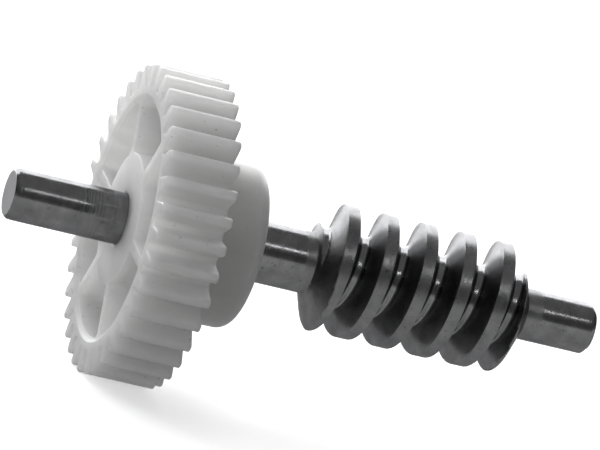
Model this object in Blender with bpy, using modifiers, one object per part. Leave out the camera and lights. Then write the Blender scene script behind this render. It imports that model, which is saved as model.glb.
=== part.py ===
"""Worm gear set: a steel worm shaft carrying a moulded nylon spur gear.

Power comes in at the spur gear and goes out at the single-start, left-hand
worm on the same shaft.  The shaft runs in two plain journals, one at each end.

Frame: +X along the shaft, from the short journal at the gear end to the
journal at the worm end; +Z up; the origin is the centre of the flat end face
of the gear-end journal.  Lengths below are in millimetres.
"""

import math

import bmesh
import bpy

MM = 0.001

# ------------------------------------------------------------ shaft stations
LENGTH = 71.0            # whole shaft, end face to end face
JOURNAL_R = 3.0           # both bearing journals
LEFT_CHAMFER = 0.4
RIGHT_CHAMFER = 0.6
SEAT_START = 15.2        # shoulder hidden inside the gear's bore
SEAT_R = 3.58           # gear seat and neck between gear and worm
WORM_START = 36.1        # foot of the relief cone at the gear end
WORM_END = 62.3          # foot of the relief cone at the far end
RELIEF_LEFT = 1.75       # length of each relief cone
RELIEF_RIGHT = 2.2

# ------------------------------------------------------------ worm
WORM_PITCH = 4.76        # axial pitch of the single start
WORM_TIP_R = 7.55
WORM_ROOT_R = 4.32
CREST_FLAT = 1.46        # axial width of the crest
FLANK_ANGLE = math.radians(20.0)
WORM_CREST_AT_TOP = 39.465   # axial position of one crest on the +Z side

# ------------------------------------------------------------ gear
TEETH = 35
GEAR_X0 = 12.99          # gear-end face of the teeth
GEAR_X1 = 21.32          # worm-end face of the teeth
TIP_R = 18.05
ROOT_R = 15.35
TOOTH_PHASE = math.radians(-8.3)   # one tooth centre, from +Z toward -Y
RIM_BORE_R = 13.83        # inside of the rim
BOSS_R = 7.67             # raised boss round the shaft
DISH_DEPTH = 0.3         # boss and ribs sit this far below the tooth faces
POCKET_DEPTH = 5.7       # pockets between the ribs, from the tooth faces
RIBS = 6
RIB_THICK = 1.35
RIB_PHASE = math.radians(-19.5)    # one rib, from +Z toward -Y
BACK_RECESS = 0.8        # shallow ring recess in the worm-end face
BACK_RECESS_R = 14.0
HUB_R = 9.62             # plain hub on the worm side
HUB_END = 28.35
HUB_ROUND = 1.6
BORE_GAP = 0.1           # drawn clearance of the press fit, per side

TURN_STEPS = 48          # facets round every turned surface


# ------------------------------------------------------------ scene set-up
for old in list(bpy.data.objects):
    bpy.data.objects.remove(old, do_unlink=True)

parts = bpy.data.collections.new("worm_gear_set")
cutters = bpy.data.collections.new("worm_gear_set_cutters")
bpy.context.scene.collection.children.link(parts)
bpy.context.scene.collection.children.link(cutters)

# The pieces are drawn round a local +Z axis, and this empty lays that axis
# along world +X.
axis = bpy.data.objects.new("shaft_axis", None)
axis.rotation_euler = (0.0, math.radians(90.0), 0.0)
parts.objects.link(axis)


def local_angle(angle):
    """Angle round the local axis of a direction given from +Z toward -Y."""
    return angle + math.pi


def material(name, colour, roughness, metallic):
    mat = bpy.data.materials.new(name)
    mat.use_nodes = True
    bsdf = mat.node_tree.nodes["Principled BSDF"]
    bsdf.inputs["Base Color"].default_value = (*colour, 1.0)
    bsdf.inputs["Roughness"].default_value = roughness
    bsdf.inputs["Metallic"].default_value = metallic
    return mat


def place(obj, collection):
    collection.objects.link(obj)
    obj.parent = axis
    if collection is cutters:
        obj.hide_render = True
        obj.display_type = "WIRE"
    return obj


def turned(name, profile, collection, steps=TURN_STEPS):
    """A turned solid from (radius, station) points, listed top to bottom."""
    mesh = bpy.data.meshes.new(name)
    bm = bmesh.new()
    verts = [bm.verts.new((r * MM, 0.0, z * MM)) for r, z in profile]
    for a, b in zip(verts, verts[1:]):
        bm.edges.new((a, b))
    if profile[0][0] > 0.0:                  # a ring closes on itself
        bm.edges.new((verts[-1], verts[0]))
    bm.to_mesh(mesh)
    bm.free()
    obj = place(bpy.data.objects.new(name, mesh), collection)
    screw = obj.modifiers.new("turn", "SCREW")
    screw.axis = "Z"
    screw.angle = math.radians(360.0)
    screw.steps = steps
    screw.render_steps = steps
    screw.use_merge_vertices = True
    screw.merge_threshold = 0.00001
    screw.use_smooth_shade = False
    return obj


def evaluated_mesh(obj):
    bpy.context.view_layer.update()
    graph = bpy.context.evaluated_depsgraph_get()
    return bpy.data.meshes.new_from_object(obj.evaluated_get(graph))


def slab(name, outlines, z0, z1, collection):
    """A plate between two stations, from one or more closed outlines."""
    curve = bpy.data.curves.new(name + "_outline", "CURVE")
    curve.dimensions = "2D"
    curve.fill_mode = "BOTH"
    curve.extrude = 0.5 * (z1 - z0) * MM
    for outline in outlines:
        spline = curve.splines.new("POLY")
        spline.points.add(len(outline) - 1)
        for point, (x, y) in zip(spline.points, outline):
            point.co = (x * MM, y * MM, 0.0, 1.0)
        spline.use_cyclic_u = True
    guide = bpy.data.objects.new(name + "_outline", curve)
    bpy.context.scene.collection.objects.link(guide)
    mesh = evaluated_mesh(guide)
    bpy.data.objects.remove(guide, do_unlink=True)
    bm = bmesh.new()
    bm.from_mesh(mesh)
    bmesh.ops.remove_doubles(bm, verts=bm.verts, dist=1.0e-6)
    bmesh.ops.translate(bm, verts=bm.verts, vec=(0.0, 0.0, 0.5 * (z0 + z1) * MM))
    bmesh.ops.recalc_face_normals(bm, faces=bm.faces)
    bm.to_mesh(mesh)
    bm.free()
    mesh.name = name
    return place(bpy.data.objects.new(name, mesh), collection)


def boolean(target, operand, operation):
    mod = target.modifiers.new(operation.lower() + "_" + operand.name, "BOOLEAN")
    mod.operation = operation
    mod.solver = "EXACT"
    mod.object = operand
    return mod


def arc(radius, a0, a1, count):
    return [
        (radius * math.cos(a0 + (a1 - a0) * i / count),
         radius * math.sin(a0 + (a1 - a0) * i / count))
        for i in range(count + 1)
    ]


# ------------------------------------------------------------ worm shaft
steel = material("ground_steel", (0.30, 0.31, 0.32), 0.28, 1.0)

# The shaft is turned first, with the worm still a plain barrel between its two
# relief cones.
barrel_start = WORM_START + RELIEF_LEFT
barrel_end = WORM_END - RELIEF_RIGHT

shaft_profile = [
    (0.0, LENGTH),
    (JOURNAL_R - RIGHT_CHAMFER, LENGTH),
    (JOURNAL_R, LENGTH - RIGHT_CHAMFER),
    (JOURNAL_R, WORM_END),
    (WORM_TIP_R, barrel_end),
    (WORM_TIP_R, barrel_start),
    (SEAT_R, WORM_START),
    (SEAT_R, SEAT_START),
    (JOURNAL_R, SEAT_START),
    (JOURNAL_R, LEFT_CHAMFER),
    (JOURNAL_R - LEFT_CHAMFER, 0.0),
    (0.0, 0.0),
]
shaft = turned("worm_shaft", shaft_profile, parts)

# The thread is what one helical groove leaves standing.  The groove's section
# runs down a left-hand helix from beyond one relief cone to beyond the other.
cut_r = WORM_TIP_R + 0.5
half_crest = 0.5 * CREST_FLAT
half_root = 0.5 * WORM_PITCH - half_crest - (WORM_TIP_R - WORM_ROOT_R) * math.tan(FLANK_ANGLE)
half_mouth = half_root + (cut_r - WORM_ROOT_R) * math.tan(FLANK_ANGLE)
grooves_above = 5.5            # pitches from the reference crest to the start
turns = 8
start_angle = local_angle(0.0)
start_station = WORM_CREST_AT_TOP + grooves_above * WORM_PITCH

groove_profile = bpy.data.meshes.new("worm_groove_profile")
bm = bmesh.new()
section = [
    (cut_r, half_mouth),
    (cut_r, -half_mouth),
    (WORM_ROOT_R, -half_root),
    (WORM_ROOT_R, half_root),
]
loop = [
    bm.verts.new((r * math.cos(start_angle) * MM,
                  r * math.sin(start_angle) * MM,
                  (start_station + z) * MM))
    for r, z in section
]
for i, vert in enumerate(loop):
    bm.edges.new((vert, loop[(i + 1) % len(loop)]))
bm.to_mesh(groove_profile)
bm.free()
sweep = bpy.data.objects.new("worm_groove_sweep", groove_profile)
bpy.context.scene.collection.objects.link(sweep)
screw = sweep.modifiers.new("helix", "SCREW")
screw.axis = "Z"
screw.angle = math.radians(360.0)
screw.iterations = turns
screw.screw_offset = -WORM_PITCH * MM
screw.steps = TURN_STEPS
screw.render_steps = TURN_STEPS
screw.use_merge_vertices = False
screw.use_smooth_shade = False
swept = evaluated_mesh(sweep)
bpy.data.objects.remove(sweep, do_unlink=True)
bm = bmesh.new()
bm.from_mesh(swept)
bmesh.ops.remove_doubles(bm, verts=bm.verts, dist=1.0e-6)
open_ends = [e for e in bm.edges if e.is_boundary]
bmesh.ops.holes_fill(bm, edges=open_ends, sides=0)
bmesh.ops.recalc_face_normals(bm, faces=bm.faces)
bm.to_mesh(swept)
bm.free()
swept.name = "worm_groove"
groove = place(bpy.data.objects.new("worm_groove", swept), cutters)
boolean(shaft, groove, "DIFFERENCE")
shaft.data.materials.append(steel)

# ------------------------------------------------------------ gear
nylon = material("natural_nylon", (0.80, 0.80, 0.77), 0.38, 0.0)


def tooth_outline():
    """The gear's edge: straight involute-like flanks with rounded tips."""
    pitch = 2.0 * math.pi / TEETH
    half = [                      # radius, half thickness along the arc
        (ROOT_R, 1.10),
        (ROOT_R + 0.35, 0.90),
        (0.5 * (ROOT_R + TIP_R), 0.76),
        (TIP_R - 0.33, 0.58),
        (TIP_R - 0.07, 0.42),
        (TIP_R, 0.18),
    ]
    points = []
    for tooth in range(TEETH):
        centre = local_angle(TOOTH_PHASE) + tooth * pitch
        rising = [(r, centre - h / r) for r, h in half]
        falling = [(r, centre + h / r) for r, h in reversed(half)]
        points += [(r * math.cos(a), r * math.sin(a)) for r, a in rising + falling]
    return points


def pocket_outlines():
    """The six pockets, each between two parallel-sided ribs."""
    outlines = []
    span = 2.0 * math.pi / RIBS
    for i in range(RIBS):
        a0 = local_angle(RIB_PHASE) + i * span
        a1 = a0 + span
        inner = math.asin(0.5 * RIB_THICK / BOSS_R)
        outer = math.asin(0.5 * RIB_THICK / RIM_BORE_R)
        outlines.append(
            arc(RIM_BORE_R, a0 + outer, a1 - outer, 8)
            + arc(BOSS_R, a1 - inner, a0 + inner, 6)
        )
    return outlines


gear = slab("drive_gear", [tooth_outline()], GEAR_X0, GEAR_X1, parts)

hub = turned(
    "gear_hub",
    [
        (0.0, HUB_END),
        (HUB_R - HUB_ROUND, HUB_END),
        (HUB_R - 0.5 * HUB_ROUND, HUB_END - 0.16 * HUB_ROUND),
        (HUB_R - 0.16 * HUB_ROUND, HUB_END - 0.5 * HUB_ROUND),
        (HUB_R, HUB_END - HUB_ROUND),
        (HUB_R, GEAR_X1 - 2.0),
        (0.0, GEAR_X1 - 2.0),
    ],
    cutters,
)
dish = turned(
    "gear_dish",
    [
        (0.0, GEAR_X0 + DISH_DEPTH),
        (RIM_BORE_R, GEAR_X0 + DISH_DEPTH),
        (RIM_BORE_R + 0.9, GEAR_X0 - 0.15),
        (RIM_BORE_R + 0.9, GEAR_X0 - 1.0),
        (0.0, GEAR_X0 - 1.0),
    ],
    cutters,
)
back = turned(
    "gear_back_recess",
    [
        (BACK_RECESS_R, GEAR_X1 + 1.0),
        (BACK_RECESS_R, GEAR_X1 - BACK_RECESS),
        (HUB_R - 1.5, GEAR_X1 - BACK_RECESS),
        (HUB_R - 1.5, GEAR_X1 + 1.0),
    ],
    cutters,
)
pockets = slab("gear_pockets", pocket_outlines(),
               GEAR_X0 - 1.0, GEAR_X0 + POCKET_DEPTH, cutters)
bore = turned(
    "gear_bore",
    [
        (0.0, HUB_END + 1.0),
        (SEAT_R + BORE_GAP, HUB_END + 1.0),
        (SEAT_R + BORE_GAP, SEAT_START - BORE_GAP),
        (JOURNAL_R + BORE_GAP, SEAT_START - BORE_GAP),
        (JOURNAL_R + BORE_GAP, GEAR_X0 - 1.0),
        (0.0, GEAR_X0 - 1.0),
    ],
    cutters,
)
boolean(gear, dish, "DIFFERENCE")
boolean(gear, back, "DIFFERENCE")
boolean(gear, pockets, "DIFFERENCE")
boolean(gear, hub, "UNION")
boolean(gear, bore, "DIFFERENCE")
gear.data.materials.append(nylon)

for piece in (shaft, gear):
    piece.data.set_sharp_from_angle(angle=math.radians(30.0))
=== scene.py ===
"""Looks of the worm gear set: a steel worm shaft with a natural nylon spur gear.

Both pieces are remeshed finely from the same stations as the CAD, with the
edge breaks, fillets and draft that turned steel and moulded nylon have, and
each carries its own procedural material.  Lengths below are in millimetres
from the centre of the gear-end journal's face, +X along the shaft, +Z up.
"""
import math

import bmesh
import bpy
import numpy as np
from mathutils import Matrix, Vector
from mathutils.geometry import delaunay_2d_cdt


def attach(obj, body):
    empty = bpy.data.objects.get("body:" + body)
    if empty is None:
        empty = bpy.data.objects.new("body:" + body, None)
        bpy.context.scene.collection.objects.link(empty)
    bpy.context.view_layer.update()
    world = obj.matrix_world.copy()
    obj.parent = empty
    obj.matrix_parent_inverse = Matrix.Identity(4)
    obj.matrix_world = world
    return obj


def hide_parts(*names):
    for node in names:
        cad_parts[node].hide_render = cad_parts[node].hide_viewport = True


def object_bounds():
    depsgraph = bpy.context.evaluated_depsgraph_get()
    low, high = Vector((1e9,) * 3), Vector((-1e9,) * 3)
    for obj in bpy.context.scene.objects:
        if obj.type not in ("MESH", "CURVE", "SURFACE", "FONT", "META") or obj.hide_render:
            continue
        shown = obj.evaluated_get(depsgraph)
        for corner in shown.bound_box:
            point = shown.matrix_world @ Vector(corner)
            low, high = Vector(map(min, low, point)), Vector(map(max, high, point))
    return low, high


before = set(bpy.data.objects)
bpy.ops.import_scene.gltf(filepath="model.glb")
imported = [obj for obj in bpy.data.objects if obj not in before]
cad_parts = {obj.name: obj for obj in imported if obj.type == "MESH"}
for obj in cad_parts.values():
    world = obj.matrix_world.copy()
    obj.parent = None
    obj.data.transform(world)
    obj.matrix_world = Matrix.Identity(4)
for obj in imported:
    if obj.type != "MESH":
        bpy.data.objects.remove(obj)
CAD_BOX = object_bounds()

MM = 0.001
TAU = 2.0 * math.pi

# ------------------------------------------------------------ stations (as CAD)
LENGTH = 71.0
JOURNAL_R = 3.0
LEFT_CHAMFER = 0.4
RIGHT_CHAMFER = 0.6
SEAT_START = 15.2
SEAT_R = 3.58
WORM_START = 36.1
WORM_END = 62.3
RELIEF_LEFT = 1.75
RELIEF_RIGHT = 2.2
WORM_PITCH = 4.76
WORM_TIP_R = 7.55
WORM_ROOT_R = 4.32
CREST_FLAT = 1.46
FLANK_ANGLE = math.radians(20.0)
WORM_CREST_AT_TOP = 39.465

TEETH = 35
GEAR_X0 = 12.99
GEAR_X1 = 21.32
TIP_R = 18.05
ROOT_R = 15.35
TOOTH_PHASE = math.radians(-8.3)
RIM_BORE_R = 13.83
BOSS_R = 7.67
DISH_DEPTH = 0.3
POCKET_DEPTH = 5.7
RIBS = 6
RIB_THICK = 1.35
RIB_PHASE = math.radians(-19.5)
BACK_RECESS = 0.8
BACK_RECESS_R = 14.0
HUB_R = 9.62
HUB_END = 28.35
HUB_ROUND = 1.6


# ------------------------------------------------------------ mesh helpers
def arc_points(cx, cr, radius, a0, a1, count):
    """Points (x, r) of an arc round (cx, cr), angles in degrees."""
    out = []
    for i in range(count + 1):
        a = math.radians(a0 + (a1 - a0) * i / count)
        out.append((cx + radius * math.cos(a), cr + radius * math.sin(a)))
    return out


def ring(x, r, steps):
    """A circle round the shaft, from +Z toward -Y."""
    a = np.arange(steps) * TAU / steps
    return np.stack([np.full(steps, x), -r * np.sin(a), r * np.cos(a)], axis=1)


class Builder:
    """Collects vertices and faces in millimetres, then welds them."""

    def __init__(self):
        self.verts = []
        self.faces = []
        self.count = 0

    def add(self, points):
        points = np.asarray(points, dtype=float)
        start = self.count
        self.verts.append(points)
        self.count += len(points)
        return start

    def loops(self, loops, flip=False):
        """Closed loops of equal length, joined by bands of quads."""
        n = len(loops[0])
        starts = [self.add(loop) for loop in loops]
        for s0, s1 in zip(starts, starts[1:]):
            for i in range(n):
                j = (i + 1) % n
                quad = (s0 + i, s0 + j, s1 + j, s1 + i)
                self.faces.append(quad[::-1] if flip else quad)
        return starts

    def lathe(self, profile, steps):
        """A turned band through (x, r) points."""
        return self.loops([ring(x, r, steps) for x, r in profile])

    def cap(self, boundaries, x, keep):
        """A flat face at station x between closed outlines of (y, z) points."""
        pts, edges = [], []
        for outline in boundaries:
            base = len(pts)
            n = len(outline)
            pts += [Vector((float(p[0]), float(p[1]))) for p in outline]
            edges += [(base + i, base + (i + 1) % n) for i in range(n)]
        out = delaunay_2d_cdt(pts, edges, [], 0, 1.0e-7)
        flat = np.array([(v.x, v.y) for v in out[0]])
        tris = np.array(out[2])
        centre = flat[tris].mean(axis=1)
        mask = keep(centre)
        start = self.add(np.column_stack([np.full(len(flat), x), flat]))
        for tri in tris[mask]:
            self.faces.append(tuple(int(i) + start for i in tri))

    def build(self, name, weld=2.0e-4):
        mesh = bpy.data.meshes.new(name)
        points = np.concatenate(self.verts) * MM
        mesh.from_pydata(points.tolist(), [], self.faces)
        bm = bmesh.new()
        bm.from_mesh(mesh)
        bmesh.ops.remove_doubles(bm, verts=bm.verts, dist=weld * MM)
        bmesh.ops.dissolve_degenerate(bm, dist=1.0e-8, edges=bm.edges)
        loose = [v for v in bm.verts if not v.link_faces]
        bmesh.ops.delete(bm, geom=loose, context="VERTS")
        bmesh.ops.recalc_face_normals(bm, faces=bm.faces)
        for face in bm.faces:
            face.smooth = True
        bm.to_mesh(mesh)
        bm.free()
        mesh.validate()
        obj = bpy.data.objects.new(name, mesh)
        bpy.context.scene.collection.objects.link(obj)
        return obj


def inside(points, outline):
    """Which points lie inside a closed outline (even-odd rule)."""
    px, py = points[:, 0][:, None], points[:, 1][:, None]
    a = np.asarray(outline)
    b = np.roll(a, -1, axis=0)
    cross = (a[:, 1] > py) != (b[:, 1] > py)
    dy = np.where(b[:, 1] == a[:, 1], 1.0, b[:, 1] - a[:, 1])
    at = (b[:, 0] - a[:, 0]) * (py - a[:, 1]) / dy + a[:, 0]
    return (cross & (px < at)).sum(axis=1) % 2 == 1


def inset(outline, amount):
    """The outline moved toward its own inside, point by point."""
    a = np.asarray(outline, dtype=float)
    t = np.roll(a, -1, axis=0) - np.roll(a, 1, axis=0)
    t /= np.linalg.norm(t, axis=1)[:, None]
    normal = np.stack([-t[:, 1], t[:, 0]], axis=1)
    area = 0.5 * np.sum(a[:, 0] * np.roll(a[:, 1], -1) - np.roll(a[:, 0], -1) * a[:, 1])
    if area < 0.0:
        normal = -normal
    return a + normal * amount


def stations(outline, x):
    a = np.asarray(outline)
    return np.column_stack([np.full(len(a), x), a])


# ------------------------------------------------------------ worm shaft
def thread_profile():
    """One pitch of the thread, (offset from the crest's middle, radius)."""
    half_crest = 0.5 * CREST_FLAT
    rise = (WORM_TIP_R - WORM_ROOT_R) * math.tan(FLANK_ANGLE)
    edge, root = 0.09, 0.36          # crest edge break and root fillet radii
    turn = math.pi / 2 - FLANK_ANGLE
    points = [(half_crest * f, WORM_TIP_R) for f in (0.0, 0.28, 0.56, 0.80)]
    t = edge * math.tan(0.5 * turn)
    cx, cr = half_crest - t, WORM_TIP_R - edge
    for i in range(6):
        a = turn * i / 5
        points.append((cx + edge * math.sin(a), cr + edge * math.cos(a)))
    t = root * math.tan(0.5 * turn)
    foot = half_crest + rise
    cx, cr = foot + t, WORM_ROOT_R + root
    low = (cx - root * math.sin(turn), cr - root * math.cos(turn))
    high = points[-1]
    for i in range(1, 8):
        f = i / 8
        points.append((high[0] + (low[0] - high[0]) * f, high[1] + (low[1] - high[1]) * f))
    for i in range(7):
        a = turn * (1.0 - i / 6)
        points.append((cx - root * math.sin(a), cr - root * math.cos(a)))
    end = 0.5 * WORM_PITCH
    last = points[-1][0]
    points += [(last + (end - last) * f, WORM_ROOT_R) for f in (0.5, 1.0)]
    left = [(-o, r) for o, r in reversed(points[1:])]
    return np.array(left + points)


STEPS = 400


def worm_shaft():
    b = Builder()
    # gear-end journal, its end face and the shoulder inside the gear
    left = [(0.0, 0.0), (0.0, 0.6), (0.0, 1.2), (0.0, 1.8), (0.0, 2.3)]
    left += [(0.0, JOURNAL_R - LEFT_CHAMFER - 0.06), (0.012, JOURNAL_R - LEFT_CHAMFER),
             (0.06, JOURNAL_R - LEFT_CHAMFER + 0.045)]
    left += [(LEFT_CHAMFER - 0.10, JOURNAL_R - 0.115), (LEFT_CHAMFER - 0.02, JOURNAL_R - 0.065),
             (LEFT_CHAMFER + 0.08, JOURNAL_R - 0.042), (0.65, JOURNAL_R - 0.022), (0.85, JOURNAL_R - 0.008),
             (1.05, JOURNAL_R)]
    left += [(x, JOURNAL_R) for x in np.linspace(1.4, SEAT_START - 0.02, 22)]
    left += [(SEAT_START, JOURNAL_R + 0.02), (SEAT_START + 0.01, SEAT_R - 0.25), (SEAT_START + 0.25, SEAT_R)]
    left += [(x, SEAT_R) for x in np.linspace(16.0, WORM_START - 0.06, 26)]
    left += [(WORM_START, SEAT_R + 0.0)]
    b.lathe(left, STEPS)
    # far-end journal
    right = [(WORM_END, JOURNAL_R)]
    right += [(x, JOURNAL_R) for x in np.linspace(WORM_END + 0.06, LENGTH - RIGHT_CHAMFER - 0.1, 16)]
    right += [(LENGTH - RIGHT_CHAMFER, JOURNAL_R - 0.015), (LENGTH - RIGHT_CHAMFER + 0.08, JOURNAL_R - 0.07)]
    right += [(LENGTH - 0.08, JOURNAL_R - RIGHT_CHAMFER + 0.06), (LENGTH - 0.015, JOURNAL_R - RIGHT_CHAMFER),
              (LENGTH, JOURNAL_R - RIGHT_CHAMFER - 0.08)]
    right += [(LENGTH, r) for r in (1.9, 1.4, 0.9, 0.4, 0.0)]
    b.lathe(right, STEPS)

    # the worm: every column of points runs along the shaft, and the columns
    # step round it with the lead, so the grid follows the helix
    prof = thread_profile()
    m = len(prof) - 1
    turns = range(-1, 7)
    offsets = np.concatenate([prof[:-1, 0] + t * WORM_PITCH for t in turns] + [[prof[-1, 0] + 6 * WORM_PITCH]])
    radii = np.concatenate([prof[:-1, 1] for _ in turns] + [[prof[-1, 1]]])
    a = np.arange(STEPS) / STEPS
    xs = WORM_CREST_AT_TOP - WORM_PITCH * a[:, None] + offsets[None, :]
    rs = np.repeat(radii[None, :], STEPS, axis=0)
    slope_l = (WORM_TIP_R - SEAT_R) / RELIEF_LEFT
    slope_r = (WORM_TIP_R - JOURNAL_R) / RELIEF_RIGHT

    def cone(x):
        return np.minimum(SEAT_R + (x - WORM_START) * slope_l, JOURNAL_R + (WORM_END - x) * slope_r)

    # points nearest a relief cone's edge slide onto that edge
    for _ in range(2):
        gap = cone(xs) - rs
        for k in range(STEPS):
            for j in np.nonzero(np.sign(gap[k, 1:]) != np.sign(gap[k, :-1]))[0]:
                g0, g1 = gap[k, j], gap[k, j + 1]
                f = g0 / (g0 - g1)
                x = xs[k, j] + (xs[k, j + 1] - xs[k, j]) * f
                r = rs[k, j] + (rs[k, j + 1] - rs[k, j]) * f
                i = j if f < 0.5 else j + 1
                xs[k, i], rs[k, i] = x, r
    xs = np.clip(xs, WORM_START, WORM_END)
    rs = np.minimum(rs, np.maximum(cone(xs), 0.0))
    rs[xs <= WORM_START] = SEAT_R
    rs[xs >= WORM_END] = JOURNAL_R
    ang = a[:, None] * TAU
    grid = np.stack([xs, -rs * np.sin(ang), rs * np.cos(ang)], axis=2)
    n = grid.shape[1]
    start = b.add(grid.reshape(-1, 3))
    for k in range(STEPS):
        for j in range(n - 1):
            if k + 1 < STEPS:
                q = (start + k * n + j, start + (k + 1) * n + j,
                     start + (k + 1) * n + j + 1, start + k * n + j + 1)
            else:
                q = (start + k * n + j, start + max(j - m, 0),
                     start + max(j + 1 - m, 0), start + k * n + j + 1)
            x4 = [b_ - start for b_ in q]
            flat = grid.reshape(-1, 3)
            if len({round(float(flat[i][0]), 6) for i in x4}) == 1 and (
                    flat[x4[0]][0] in (WORM_START, WORM_END)):
                continue
            b.faces.append(q)
    return b.build("worm_shaft_fine")


# ------------------------------------------------------------ gear
def tooth_outline():
    pitch = TAU / TEETH
    half = [
        (15.350, 1.378), (15.350, 1.200), (15.385, 1.085), (15.47, 1.00), (15.60, 0.94),
        (15.80, 0.885), (16.15, 0.830), (16.70, 0.760), (17.15, 0.690), (17.50, 0.622),
        (17.72, 0.565), (17.87, 0.490), (17.97, 0.390), (18.025, 0.270), (18.048, 0.130),
    ]
    pts = []
    for tooth in range(TEETH):
        c = TOOTH_PHASE + tooth * pitch
        rising = [(r, c - h / r) for r, h in half]
        falling = [(r, c + h / r) for r, h in reversed(half[1:])]
        pts += rising + [(TIP_R, c)] + falling
    return np.array([(-r * math.sin(a), r * math.cos(a)) for r, a in pts])


def circle(r, steps):
    a = np.arange(steps) * TAU / steps
    return np.stack([-r * np.sin(a), r * np.cos(a)], axis=1)


def pocket_outline(index, outer_r, inner_r, corner):
    """One pocket between two ribs, with rounded corners, as (y, z) points."""
    a0 = RIB_PHASE + index * TAU / RIBS
    a1 = a0 + TAU / RIBS
    h = 0.5 * RIB_THICK
    ao, ai = math.asin(h / outer_r), math.asin(h / inner_r)

    def at(r, a):
        return np.array((-r * math.sin(a), r * math.cos(a)))

    sides = [
        [at(outer_r, a0 + ao + (a1 - a0 - 2 * ao) * i / 160) for i in range(161)],
        [at(outer_r, a1 - ao) * (1 - i / 60) + at(inner_r, a1 - ai) * (i / 60) for i in range(61)],
        [at(inner_r, a1 - ai - (a1 - a0 - 2 * ai) * i / 90) for i in range(91)],
        [at(inner_r, a0 + ai) * (1 - i / 60) + at(outer_r, a0 + ao) * (i / 60) for i in range(61)],
    ]
    out = []
    for k, side in enumerate(sides):
        side = np.array(side)
        first, last = side[0], side[-1]
        d0 = np.linalg.norm(side - first, axis=1)
        d1 = np.linalg.norm(side - last, axis=1)
        body = side[(d0 > corner) & (d1 > corner)]
        nxt = np.array(sides[(k + 1) % 4])
        dn = np.linalg.norm(nxt - nxt[0], axis=1)
        start_next = nxt[dn > corner][0]
        out += list(body)
        p0, p1, p2 = body[-1], last, start_next
        for i in range(1, 12):
            f = i / 12
            out.append((1 - f) ** 2 * p0 + 2 * f * (1 - f) * p1 + f * f * p2)
    return np.array(out)


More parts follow.
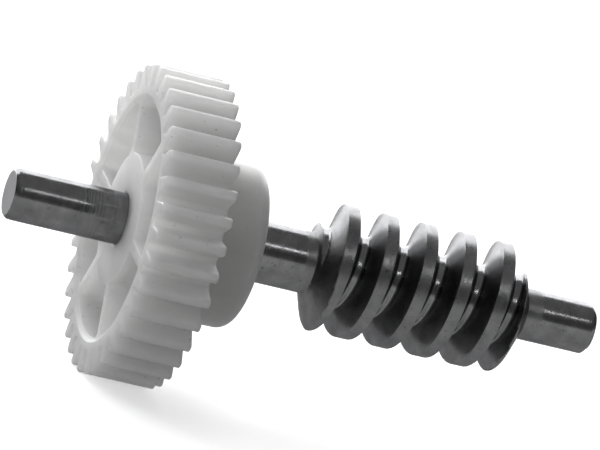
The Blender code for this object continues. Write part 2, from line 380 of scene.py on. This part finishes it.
def gear_mesh():
    b = Builder()
    edge = 0.20                       # break at both ends of the teeth
    teeth = tooth_outline()
    loops = []
    for i in range(6):                # gear-end face, from the flat outward
        a = math.radians(90.0 * i / 5)
        loops.append(stations(inset(teeth, edge * (1.0 - math.sin(a))), GEAR_X0 + edge * (1.0 - math.cos(a))))
    for x in np.linspace(GEAR_X0 + 0.6, GEAR_X1 - 0.6, 9):
        loops.append(stations(teeth, x))
    for i in range(6):
        a = math.radians(90.0 * i / 5)
        loops.append(stations(inset(teeth, edge * (1.0 - math.cos(a))), GEAR_X1 - edge * (1.0 - math.sin(a))))
    b.loops(loops)
    flat_out = inset(teeth, edge)
    support = inset(teeth, edge + 0.03)
    steps = 420
    for x, inner in ((GEAR_X0, 14.52), (GEAR_X1, BACK_RECESS_R + 0.26)):
        b.loops([stations(flat_out, x), stations(support, x)])
        hole = circle(inner, steps)
        b.cap([support, hole], x,
              lambda c, hole_r=inner: inside(c, support) & (np.hypot(c[:, 0], c[:, 1]) > hole_r * 0.9999))

    # gear-end side: bevel down to the level of the ribs and the boss
    xd = GEAR_X0 + DISH_DEPTH
    bevel = [(GEAR_X0, 14.52), (GEAR_X0, 14.49), (GEAR_X0 + 0.015, 14.44), (GEAR_X0 + 0.05, 14.38),
             (xd - 0.06, 14.09), (xd - 0.015, 14.03), (xd, 13.985), (xd, 13.965)]
    b.lathe(bevel, steps)
    rim_hole = circle(13.965, steps)

    # six pockets, each with a broken top edge, a little draft and a filleted floor
    top, fillet, draft = 0.15, 0.55, 0.16
    floor_x = GEAR_X0 + POCKET_DEPTH
    wall_r = RIM_BORE_R - 0.04
    pocket_tops = []
    for i in range(RIBS):
        base = pocket_outline(i, wall_r, BOSS_R, 0.75)
        loops = []
        for k in range(5):
            a = math.radians(90.0 * k / 4)
            loops.append(stations(inset(base, -top * (1.0 - math.sin(a))), xd + top * (1.0 - math.cos(a))))
        for f in (0.25, 0.5, 0.75):
            loops.append(stations(inset(base, draft * f), xd + top + (floor_x - fillet - xd - top) * f))
        for k in range(7):
            a = math.radians(90.0 * k / 6)
            loops.append(stations(inset(base, draft + fillet * (1.0 - math.cos(a))),
                                  floor_x - fillet * (1.0 - math.sin(a))))
        b.loops(loops)
        pocket_tops.append(inset(base, -top))
        last = inset(base, draft + fillet)
        b.cap([last], floor_x, lambda c, loop=last: inside(c, loop))

    # bore mouth, bore, hub and back recess in one turned band
    mouth = 0.22
    bore_small, bore_seat = JOURNAL_R + 0.05, SEAT_R + 0.012
    band = [(xd, bore_small + mouth + 0.02)]
    band += arc_points(xd + mouth, bore_small + mouth, mouth, 180.0, 270.0, 4)
    band += [(x, bore_small) for x in (14.2, SEAT_START - 0.06)]
    band += [(SEAT_START - 0.05, bore_seat)]
    band += [(x, bore_seat) for x in np.linspace(16.5, HUB_END - 0.5, 7)]
    band += arc_points(HUB_END - 0.18, bore_seat + 0.18, 0.18, 270.0, 360.0, 4)
    band += [(HUB_END, bore_seat + 0.3), (HUB_END, 5.6), (HUB_END, 7.2), (HUB_END, HUB_R - HUB_ROUND - 0.03)]
    band += arc_points(HUB_END - HUB_ROUND, HUB_R - HUB_ROUND, HUB_ROUND, 0.0, 90.0, 14)
    foot, lip = 0.35, 0.22
    xr = GEAR_X1 - BACK_RECESS
    band += [(x, HUB_R + 0.10 * (HUB_END - HUB_ROUND - x) / 6.0) for x in np.linspace(HUB_END - HUB_ROUND - 0.05, xr + foot + 0.05, 9)]
    hub_foot = band[-1][1]
    band += [(xr + foot - foot * math.sin(math.radians(a)), hub_foot + foot * (1.0 - math.cos(math.radians(a))))
             for a in (0, 18, 36, 54, 72, 90)]
    band += [(xr, hub_foot + foot + 0.05), (xr, 11.5), (xr, BACK_RECESS_R - foot - 0.05)]
    band += [(xr + foot * (1.0 - math.cos(math.radians(a))), BACK_RECESS_R - foot + foot * math.sin(math.radians(a)))
             for a in (0, 18, 36, 54, 72, 90)]
    band += [(GEAR_X1 - lip, BACK_RECESS_R)]
    band += [(GEAR_X1 - lip + lip * math.sin(math.radians(a)), BACK_RECESS_R + lip * (1.0 - math.cos(math.radians(a))))
             for a in (22.5, 45, 67.5, 90)]
    band += [(GEAR_X1, BACK_RECESS_R + 0.26)]
    b.lathe(band, steps)

    mouth_hole = circle(bore_small + mouth + 0.02, steps)

    def rib_level(c):
        r = np.hypot(c[:, 0], c[:, 1])
        ok = (r < 13.965) & (r > (bore_small + mouth + 0.02) * 0.9999)
        for outline in pocket_tops:
            ok &= ~inside(c, outline)
        return ok

    b.cap([rim_hole, mouth_hole] + pocket_tops, xd, rib_level)
    return b.build("drive_gear_fine")


# ------------------------------------------------------------ materials
def new_material(name):
    mat = bpy.data.materials.new(name)
    mat.use_nodes = True
    tree = mat.node_tree
    return mat, tree, tree.nodes["Principled BSDF"]


def node(tree, kind, **values):
    n = tree.nodes.new(kind)
    for key, value in values.items():
        if key.startswith("in_"):
            n.inputs[key[3:].replace("_", " ")].default_value = value
        else:
            setattr(n, key, value)
    return n


def stretched(tree, scale):
    """Object coordinates with each axis scaled, for grain with a direction."""
    coord = tree.nodes.new("ShaderNodeTexCoord")
    mapping = tree.nodes.new("ShaderNodeMapping")
    mapping.inputs["Scale"].default_value = scale
    tree.links.new(coord.outputs["Object"], mapping.inputs["Vector"])
    return mapping.outputs["Vector"]


def noise(tree, vector, scale, detail=2.0, rough=0.5):
    n = node(tree, "ShaderNodeTexNoise")
    n.inputs["Scale"].default_value = scale
    n.inputs["Detail"].default_value = detail
    n.inputs["Roughness"].default_value = rough
    tree.links.new(vector, n.inputs["Vector"])
    return n.outputs["Fac"]


def ramp(tree, fac, stops):
    n = tree.nodes.new("ShaderNodeValToRGB")
    els = n.color_ramp.elements
    while len(els) > 1:
        els.remove(els[-1])
    for i, (pos, value) in enumerate(stops):
        e = els[0] if i == 0 else els.new(pos)
        e.position = pos
        e.color = (*value, 1.0) if isinstance(value, tuple) else (value, value, value, 1.0)
    tree.links.new(fac, n.inputs["Fac"])
    return n.outputs["Color"]


def math_node(tree, op, a, b=None):
    n = tree.nodes.new("ShaderNodeMath")
    n.operation = op
    for i, v in enumerate((a, b)):
        if v is None:
            continue
        if isinstance(v, (int, float)):
            n.inputs[i].default_value = v
        else:
            tree.links.new(v, n.inputs[i])
    return n.outputs[0]


def steel_material():
    """Turned and ground steel: fine rings round the shaft, faint oil bloom."""
    mat, tree, bsdf = new_material("ground_steel")
    link = tree.links.new
    fine = noise(tree, stretched(tree, (5600.0, 110.0, 110.0)), 1.0, 3.0, 0.6)
    broad = noise(tree, stretched(tree, (2300.0, 70.0, 70.0)), 1.0, 2.0, 0.5)
    bloom = noise(tree, stretched(tree, (420.0, 420.0, 420.0)), 1.0, 4.0, 0.6)
    speck = noise(tree, stretched(tree, (3200.0, 5200.0, 5200.0)), 1.0, 1.0, 0.5)
    scratch = noise(tree, stretched(tree, (3400.0, 1500.0, 1500.0)), 1.0, 2.0, 0.7)

    tone = ramp(tree, bloom, [(0.30, (0.165, 0.166, 0.170)), (0.52, (0.215, 0.216, 0.220)),
                              (0.72, (0.265, 0.266, 0.269))])
    pits = ramp(tree, speck, [(0.00, 0.45), (0.27, 0.55), (0.33, 1.0), (1.0, 1.0)])
    mix = node(tree, "ShaderNodeMix", data_type="RGBA", blend_type="MULTIPLY")
    mix.inputs["Factor"].default_value = 1.0
    link(tone, mix.inputs["A"])
    link(pits, mix.inputs["B"])
    # the two cut-off end faces are facing cuts: brighter and duller than the
    # ground cylinder beside them
    along = node(tree, "ShaderNodeSeparateXYZ")
    link(stretched(tree, (1000.0, 1000.0, 1000.0)), along.inputs["Vector"])
    faced = math_node(tree, "ADD", math_node(tree, "LESS_THAN", along.outputs["X"], 0.04),
                      math_node(tree, "GREATER_THAN", along.outputs["X"], LENGTH - 0.04))
    facing = node(tree, "ShaderNodeMix", data_type="RGBA", blend_type="MIX")
    link(math_node(tree, "MULTIPLY", faced, 0.75), facing.inputs["Factor"])
    link(mix.outputs["Result"], facing.inputs["A"])
    facing.inputs["B"].default_value = (0.60, 0.60, 0.61, 1.0)
    link(facing.outputs["Result"], bsdf.inputs["Base Color"])
    bsdf.inputs["Metallic"].default_value = 1.0
    bsdf.inputs["Specular Tint"].default_value = (0.55, 0.55, 0.56, 1.0)

    rough = ramp(tree, broad, [(0.25, 0.15), (0.55, 0.20), (0.80, 0.28)])
    rough2 = math_node(tree, "MULTIPLY_ADD", bloom, 0.16)
    tree.nodes[-1].inputs[2].default_value = -0.08
    # the ground journals and the thread's root are the smoothest; the
    # thread's flanks and crest keep a duller, hobbed surface
    radial = node(tree, "ShaderNodeVectorMath", operation="LENGTH")
    link(stretched(tree, (0.0, 1000.0, 1000.0)), radial.inputs[0])
    hobbed = node(tree, "ShaderNodeMapRange", interpolation_type="SMOOTHSTEP")
    link(radial.outputs["Value"], hobbed.inputs["Value"])
    for key, value in (("From Min", 4.35), ("From Max", 5.2), ("To Min", 0.0), ("To Max", 0.115)):
        hobbed.inputs[key].default_value = value
    rough3 = math_node(tree, "ADD", rough, rough2)
    # matt bands that the grinding wheel doesn't reach, beside both relief cones
    rough3 = math_node(tree, "ADD", rough3, math_node(tree, "MULTIPLY", faced, 0.20))
    for centre, half in ((35.7, 1.25), (62.9, 1.6)):
        away = math_node(tree, "ABSOLUTE", math_node(tree, "SUBTRACT", along.outputs["X"], centre))
        band = node(tree, "ShaderNodeMapRange", interpolation_type="SMOOTHSTEP")
        link(away, band.inputs["Value"])
        for key, value in (("From Min", half), ("From Max", half - 0.85), ("To Min", 0.0), ("To Max", 0.17)):
            band.inputs[key].default_value = value
        rough3 = math_node(tree, "ADD", rough3, band.outputs["Result"])
    link(math_node(tree, "ADD", rough3, hobbed.outputs["Result"]), bsdf.inputs["Roughness"])

    height = math_node(tree, "ADD", math_node(tree, "MULTIPLY", fine, 0.55),
                       math_node(tree, "MULTIPLY", broad, 0.45))
    height = math_node(tree, "ADD", height, math_node(tree, "MULTIPLY", scratch, 0.13))
    bump = node(tree, "ShaderNodeBump")
    bump.inputs["Strength"].default_value = 0.60
    bump.inputs["Distance"].default_value = 0.000036
    link(height, bump.inputs["Height"])
    link(bump.outputs["Normal"], bsdf.inputs["Normal"])
    return mat


def nylon_material():
    """Natural moulded nylon: milky, light passes a few millimetres into it."""
    mat, tree, bsdf = new_material("natural_nylon")
    link = tree.links.new
    cloud = noise(tree, stretched(tree, (130.0, 130.0, 130.0)), 1.0, 3.0, 0.55)
    flow = noise(tree, stretched(tree, (260.0, 620.0, 620.0)), 1.0, 3.0, 0.6)
    grain = noise(tree, stretched(tree, (3800.0, 3800.0, 3800.0)), 1.0, 3.0, 0.6)
    dirt = noise(tree, stretched(tree, (1500.0, 1500.0, 1500.0)), 1.0, 2.0, 0.5)

    tone = ramp(tree, cloud, [(0.30, (0.728, 0.728, 0.724)), (0.55, (0.772, 0.772, 0.768)),
                              (0.75, (0.803, 0.803, 0.799))])
    marks = ramp(tree, dirt, [(0.00, 0.50), (0.24, 0.70), (0.30, 1.0), (1.0, 1.0)])
    streak = ramp(tree, flow, [(0.25, 0.955), (0.60, 1.0), (1.0, 1.0)])
    mix = node(tree, "ShaderNodeMix", data_type="RGBA", blend_type="MULTIPLY")
    mix.inputs["Factor"].default_value = 1.0
    link(tone, mix.inputs["A"])
    link(marks, mix.inputs["B"])
    mix2 = node(tree, "ShaderNodeMix", data_type="RGBA", blend_type="MULTIPLY")
    mix2.inputs["Factor"].default_value = 1.0
    link(mix.outputs["Result"], mix2.inputs["A"])
    link(streak, mix2.inputs["B"])
    # painted shade: the hub's base colour is darkened by a tenth from x 20.6 to 23 mm onward, standing in for the
    # shade the gear throws on the hub and the light the steel seat inside it takes up
    along = node(tree, "ShaderNodeSeparateXYZ")
    link(stretched(tree, (1000.0, 1000.0, 1000.0)), along.inputs["Vector"])
    painted_hub_shade = node(tree, "ShaderNodeMapRange", interpolation_type="SMOOTHSTEP")
    link(along.outputs["X"], painted_hub_shade.inputs["Value"])
    for key, value in (("From Min", 20.6), ("From Max", 23.0), ("To Min", 1.0), ("To Max", 0.90)):
        painted_hub_shade.inputs[key].default_value = value
    hub_shade_mix = node(tree, "ShaderNodeMix", data_type="RGBA", blend_type="MULTIPLY")
    hub_shade_mix.inputs["Factor"].default_value = 1.0
    link(mix2.outputs["Result"], hub_shade_mix.inputs["A"])
    link(painted_hub_shade.outputs["Result"], hub_shade_mix.inputs["B"])
    link(hub_shade_mix.outputs["Result"], bsdf.inputs["Base Color"])
    link(ramp(tree, flow, [(0.25, 0.36), (0.75, 0.50)]), bsdf.inputs["Roughness"])
    bsdf.inputs["IOR"].default_value = 1.53
    bsdf.inputs["Specular IOR Level"].default_value = 0.42
    bsdf.inputs["Subsurface Weight"].default_value = 1.0
    bsdf.inputs["Subsurface Radius"].default_value = (1.0, 1.0, 0.97)
    bsdf.inputs["Subsurface Scale"].default_value = 0.011
    height = math_node(tree, "ADD", math_node(tree, "MULTIPLY", grain, 0.35),
                       math_node(tree, "MULTIPLY", flow, 0.65))
    bump = node(tree, "ShaderNodeBump")
    bump.inputs["Strength"].default_value = 0.30
    bump.inputs["Distance"].default_value = 0.00007
    link(height, bump.inputs["Height"])
    link(bump.outputs["Normal"], bsdf.inputs["Normal"])
    return mat


# ------------------------------------------------------------ pieces
shaft = worm_shaft()
shaft.data.materials.append(steel_material())
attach(shaft, "root")
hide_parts("worm_shaft")

gear = gear_mesh()
gear.data.materials.append(nylon_material())
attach(gear, "root")
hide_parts("drive_gear")

# ------------------------------------------------------------ floor
floor_mesh = bpy.data.meshes.new("floor")
bm = bmesh.new()
bmesh.ops.create_grid(bm, x_segments=4, y_segments=4, size=6.0)
bm.to_mesh(floor_mesh)
bm.free()
floor = bpy.data.objects.new("floor", floor_mesh)
floor.location = (0.035, 0.0, CAD_BOX[0][2] - 0.00002)
bpy.context.scene.collection.objects.link(floor)
floor_mat, tree, bsdf = new_material("pale_floor")
bsdf.inputs["Base Color"].default_value = (0.90, 0.90, 0.90, 1.0)
bsdf.inputs["Roughness"].default_value = 0.85
bsdf.inputs["Specular IOR Level"].default_value = 0.1
bsdf.inputs["Emission Color"].default_value = (1.0, 1.0, 1.0, 1.0)
bsdf.inputs["Emission Strength"].default_value = 0.50
floor.data.materials.append(floor_mat)
floor.visible_diffuse = False      # the light boxes and the world set the shading
floor.visible_glossy = False

# ------------------------------------------------------------ light
world = bpy.data.worlds.new("studio")
bpy.context.scene.world = world
world.use_nodes = True
wt = world.node_tree
coord = wt.nodes.new("ShaderNodeTexCoord")
split = wt.nodes.new("ShaderNodeSeparateXYZ")
wt.links.new(coord.outputs["Generated"], split.inputs["Vector"])
lift = wt.nodes.new("ShaderNodeMapRange")
lift.inputs["From Min"].default_value = -1.0
lift.inputs["From Max"].default_value = 1.0
wt.links.new(split.outputs["Z"], lift.inputs["Value"])
sky = wt.nodes.new("ShaderNodeValToRGB")
els = sky.color_ramp.elements
els[0].position, els[0].color = 0.0, (0.14, 0.14, 0.14, 1.0)
els[1].position, els[1].color = 1.0, (0.29, 0.29, 0.29, 1.0)
for pos, v in ((0.350, 0.20), (0.470, 0.32), (0.494, 0.34), (0.506, 0.13), (0.675, 0.10), (0.80, 0.20)):
    e = els.new(pos)
    e.color = (v, v, v, 1.0)
wt.links.new(lift.outputs["Result"], sky.inputs["Fac"])
back = wt.nodes["Background"]
wt.links.new(sky.outputs["Color"], back.inputs["Color"])
back.inputs["Strength"].default_value = 1.0

TARGET = Vector((0.034, 0.0, 0.0))


def area(name, location, size, radiance, size_y=None, diffuse=True, mirrored=False):
    """A soft box aimed at the piece; radiance in W per square metre and steradian."""
    data = bpy.data.lights.new(name, "AREA")
    data.shape = "RECTANGLE"
    data.size = size
    data.size_y = size_y or size
    data.energy = radiance * math.pi * data.size * data.size_y
    obj = bpy.data.objects.new(name, data)
    bpy.context.scene.collection.objects.link(obj)
    obj.location = location
    direction = TARGET - Vector(location)
    obj.rotation_euler = direction.to_track_quat("-Z", "Y").to_euler()
    obj.visible_diffuse = diffuse
    obj.visible_transmission = diffuse
    obj.visible_glossy = mirrored
    return obj


# soft boxes that light the piece from behind, above and the left
area("key_back", (-0.15, 0.75, 0.55), 1.00, 2.75)
area("key_top", (-0.25, 0.10, 0.90), 0.80, 0.7)
area("side_left", (-0.80, -0.55, 0.14), 0.50, 4.4)
# what the metal mirrors: a bright sheet behind, and one narrow lamp in front
area("back_sheet", (0.034 + 0.05, 0.66, 0.34), 1.15, 4.5, size_y=0.78, diffuse=False, mirrored=True)
table = area("table_glow", (0.034, 0.0, CAD_BOX[0][2] + 0.0002), 2.4, 0.42, diffuse=False, mirrored=True)
table.rotation_euler = (math.pi, 0.0, 0.0)
table.visible_camera = False
area("strip", (0.034 + 0.17, -0.43, 0.382), 0.12, 11.0, size_y=0.024, diffuse=False, mirrored=True)

# ------------------------------------------------------------ camera
RIGHT = Vector((0.93320741, -0.2385962, 0.26869271))
UP = Vector((-0.22140985, 0.20714178, 0.95292705))
TOWARD = Vector((-0.28302226, -0.9487698, 0.1404787))
cam_data = bpy.data.cameras.new("camera")
cam_data.sensor_width = 36.0
cam_data.sensor_fit = "HORIZONTAL"
cam_data.lens = 417.743
cam_data.clip_start = 0.01
cam_data.clip_end = 50.0
cam = bpy.data.objects.new("camera", cam_data)
bpy.context.scene.collection.objects.link(cam)
cam.matrix_world = Matrix((
    (RIGHT.x, UP.x, TOWARD.x, -0.19078260577),
    (RIGHT.y, UP.y, TOWARD.y, -0.75360780346),
    (RIGHT.z, UP.z, TOWARD.z, 0.11562764061),
    (0.0, 0.0, 0.0, 1.0),
))
bpy.context.scene.camera = cam
bpy.context.scene.view_settings.view_transform = "Standard"
